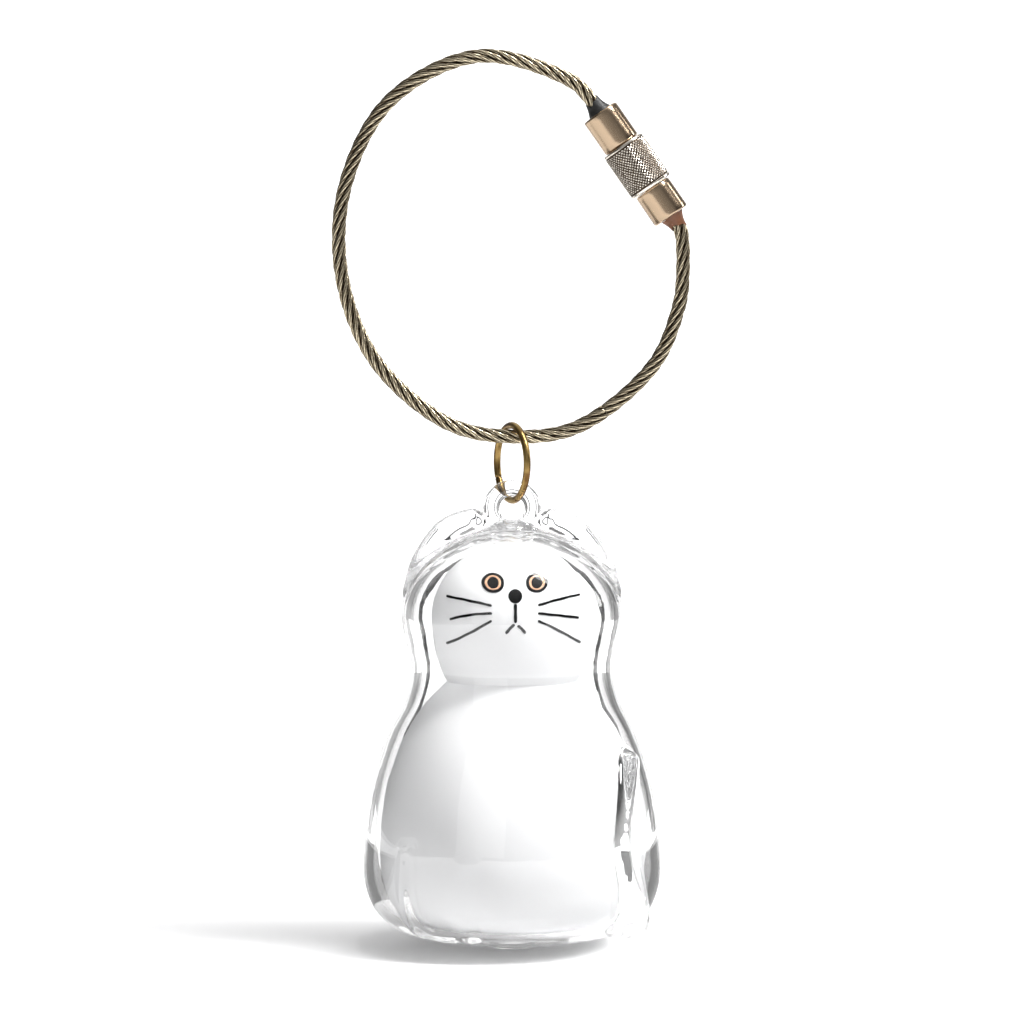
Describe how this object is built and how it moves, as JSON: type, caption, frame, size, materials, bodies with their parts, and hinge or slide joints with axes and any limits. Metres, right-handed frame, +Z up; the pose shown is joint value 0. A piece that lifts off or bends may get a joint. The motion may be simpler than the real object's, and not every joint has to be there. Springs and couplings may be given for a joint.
{
  "type": "glass cat charm keychain",
  "caption": "Clear blown glass cat charm with a white inner figure and a painted face, hung by a glass eye and a jump ring from a twisted wire rope key loop with a knurled screw clasp.",
  "frame": {"origin": "hang point: the inner side of the rope loop's top, straight above the jump ring", "axes": "+Z up; the cat faces -Y; +X to the viewer's right, the side of the clasp and the tail"},
  "size_m": [0.0503, 0.042, 0.1263],
  "materials": {
    "clear_glass": "clear blown borosilicate glass, fire polished",
    "opal_glass": "opaque white opal glass, smooth",
    "black_enamel": "fired black enamel line work",
    "tan_enamel": "fired tan enamel",
    "rope_wire": "twisted steel wire rope with a clear champagne bronze plating, darker between the wires",
    "polished_bronze": "turned and polished, tan bronze plating",
    "knurled_bronze": "fine diamond knurl, tan bronze plating",
    "steel_pin": "plain turned steel",
    "antique_brass": "antique brass wire, darkened in places",
    "black_sealant": "black sealant",
    "brown_sealant": "brown sealant"
  },
  "bodies": {
    "key_loop": {"wire_rope": "rope_wire", "upper_ferrule": "polished_bronze", "upper_rope_seal": "black_sealant"},
    "clasp_end": {"lower_ferrule": "polished_bronze", "swivel_pin": "steel_pin", "wire_rope_free_end": "rope_wire", "lower_rope_seal": "brown_sealant"},
    "sleeve": {"screw_sleeve": "knurled_bronze"},
    "ring": {"jump_ring": "antique_brass"},
    "charm": {"outer_shell": "clear_glass", "left_ear": "clear_glass", "right_ear": "clear_glass", "tail": "clear_glass", "outer_front_paw": "clear_glass", "inner_front_paw": "clear_glass", "hang_loop": "clear_glass", "base_plug": "clear_glass", "inner_figure": "opal_glass", "left_eye_outline": "black_enamel", "left_eye_pupil": "black_enamel", "right_eye_outline": "black_enamel", "right_eye_pupil": "black_enamel", "nose": "black_enamel", "philtrum": "black_enamel", "mouth_left": "black_enamel", "mouth_right": "black_enamel", "left_whisker_upper": "black_enamel", "left_whisker_middle": "black_enamel", "left_whisker_lower": "black_enamel", "right_whisker_upper": "black_enamel", "right_whisker_middle": "black_enamel", "right_whisker_lower": "black_enamel", "left_eye_ring": "tan_enamel", "right_eye_ring": "tan_enamel"}
  },
  "joints": [
    {"name": "clasp_draw", "type": "slide", "parent": "key_loop", "child": "clasp_end", "axis": [0.5721, 0, -0.8202], "range_m": [0, 0.0036]},
    {"name": "sleeve_turn", "type": "hinge", "parent": "clasp_end", "child": "sleeve", "pos_m": [0.01228, 0, -0.00647], "axis": [0.5721, 0, -0.8202], "range_deg": [0, 2160]},
    {"name": "ring_swing", "type": "hinge", "parent": "key_loop", "child": "ring", "pos_m": [0, 0, -0.05188], "axis": [1, 0, 0], "range_deg": [-90, 90]},
    {"name": "charm_swing", "type": "hinge", "parent": "ring", "child": "charm", "pos_m": [0, 0, -0.06085], "axis": [0.4003, -0.9164, 0], "range_deg": [-45, 45]}
  ],
  "couplings": [
    {"joint": "sleeve_turn", "follows": "clasp_draw", "rad_per_m": 10472}
  ]
}
